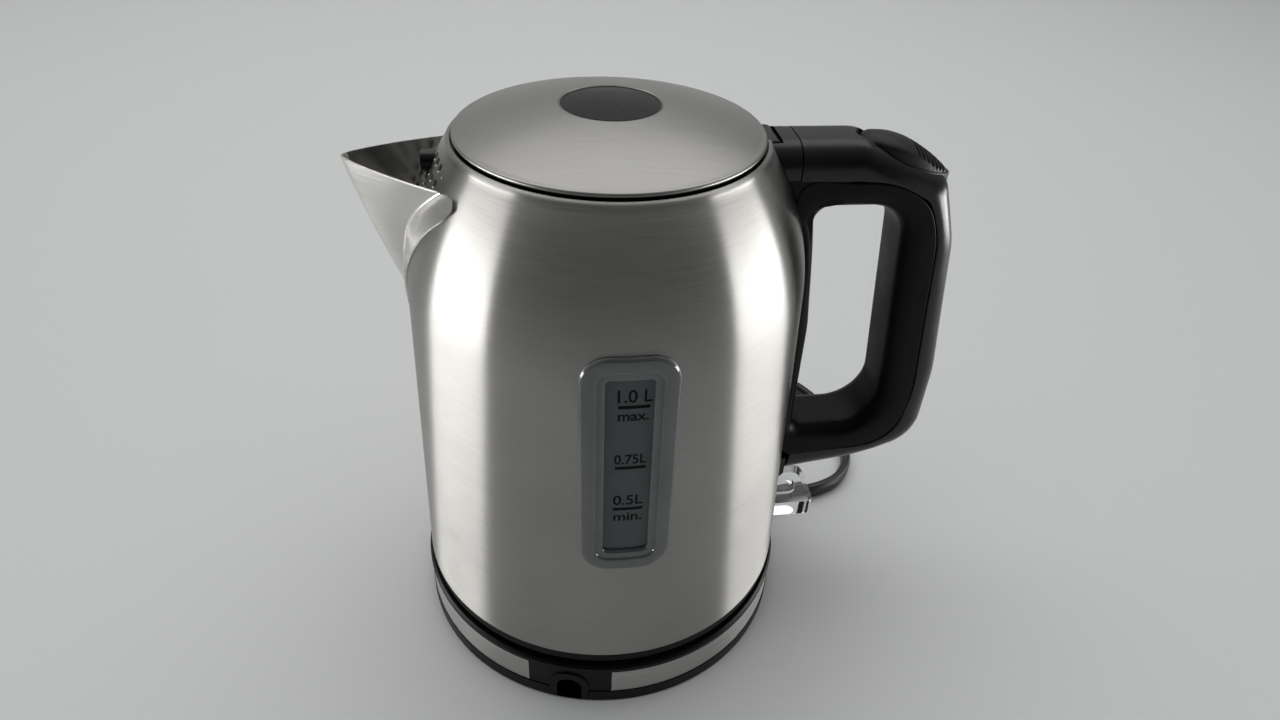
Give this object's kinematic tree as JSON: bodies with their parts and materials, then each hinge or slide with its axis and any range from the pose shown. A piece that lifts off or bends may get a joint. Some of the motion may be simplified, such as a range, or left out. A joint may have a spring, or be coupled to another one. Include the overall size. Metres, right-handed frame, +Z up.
{
  "type": "electric cordless kettle",
  "caption": "Round brushed-steel cordless kettle with V-shaped spout, hinged domed lid, D-shaped handle, tall water window and switch lever, standing on a round power base with a cord.",
  "frame": {"origin": "centre of the base's underside, on the table, on the kettle's vertical axis", "axes": "+Z up; the handle points along +X, the spout along -X and the water window faces -Y"},
  "size_m": [0.2121, 0.2327, 0.2007],
  "materials": {
    "brushed_steel": "horizontally brushed satin",
    "bright_steel": "fine satin",
    "aluminium": "plain rolled",
    "brass": "plain",
    "black_gloss": "glossy moulded",
    "black_matte": "fine spark texture",
    "clear": "clear polycarbonate",
    "rubber": "matt",
    "cord_black": "soft PVC",
    "tie": "coated wire tie"
  },
  "bodies": {
    "base": {"base_cover": "black_matte", "base_band": "brushed_steel", "base_bottom": "black_matte", "base_feet": "rubber", "base_screws": "bright_steel", "screw_posts": "black_matte", "connector_hub": "black_matte", "hub_contacts": "brass", "cord_clamp": "black_matte", "inner_lead": "cord_black", "strain_relief": "cord_black", "cord": "cord_black", "cord_coil": "cord_black", "cord_tail": "cord_black", "coil_tie": "tie", "plug_body": "cord_black", "plug_blades": "brass"},
    "collar": {"socket_collar": "black_matte"},
    "kettle": {"body_shell": "brushed_steel", "spout": "bright_steel", "mouth_ring": "black_gloss", "sight_window": "clear", "window_gasket": "rubber", "window_clamp": "black_matte", "filter_frame": "black_matte", "filter_mesh": "bright_steel", "heater_plate": "bright_steel", "heat_spreader": "aluminium", "heating_element": "aluminium", "steam_tube": "black_matte", "underside_cover": "black_matte", "socket_unit": "black_matte", "socket_contacts": "brass", "control_unit": "black_matte", "switch_housing": "black_matte", "bimetal_disc": "brass", "switch_bezel": "black_gloss", "switch_pin": "bright_steel", "handle_cover": "black_gloss", "handle_grip": "black_matte", "handle_backbone": "black_matte", "handle_neck": "black_gloss", "handle_screws": "bright_steel", "button_pin": "bright_steel", "lid_pin": "bright_steel", "lid_spring": "bright_steel"},
    "lid": {"lid_cover": "brushed_steel", "lid_badge": "black_gloss", "lid_inner": "black_matte", "lid_seal": "rubber"},
    "button": {"lid_button": "black_gloss"},
    "rod": {"release_rod": "black_matte"},
    "lever": {"switch_lever": "clear"}
  },
  "joints": [
    {"name": "kettle_lift", "type": "slide", "parent": "base", "child": "collar", "axis": [0, 0, 1], "range_m": [0, 0.06]},
    {"name": "kettle_turn", "type": "hinge", "parent": "collar", "child": "kettle", "pos_m": [0, 0, 0.023], "axis": [0, 0, 1], "continuous": true},
    {"name": "lid_hinge", "type": "hinge", "parent": "kettle", "child": "lid", "pos_m": [0.0502, 0, 0.1868], "axis": [0, 1, 0], "range_deg": [0, 75]},
    {"name": "lid_button", "type": "hinge", "parent": "kettle", "child": "button", "pos_m": [0.094, 0, 0.1816], "axis": [0, 1, 0], "range_deg": [0, 7], "stiffness_Nm_per_rad": 0.2},
    {"name": "release_slide", "type": "slide", "parent": "kettle", "child": "rod", "axis": [-1, 0, 0], "range_m": [0, 0.0008]},
    {"name": "switch_lever", "type": "hinge", "parent": "kettle", "child": "lever", "pos_m": [0.0575, 0, 0.0315], "axis": [0, 1, 0], "range_deg": [0, 8]}
  ],
  "couplings": [
    {"joint": "release_slide", "follows": "lid_button", "m_per_rad": 0.0063}
  ]
}
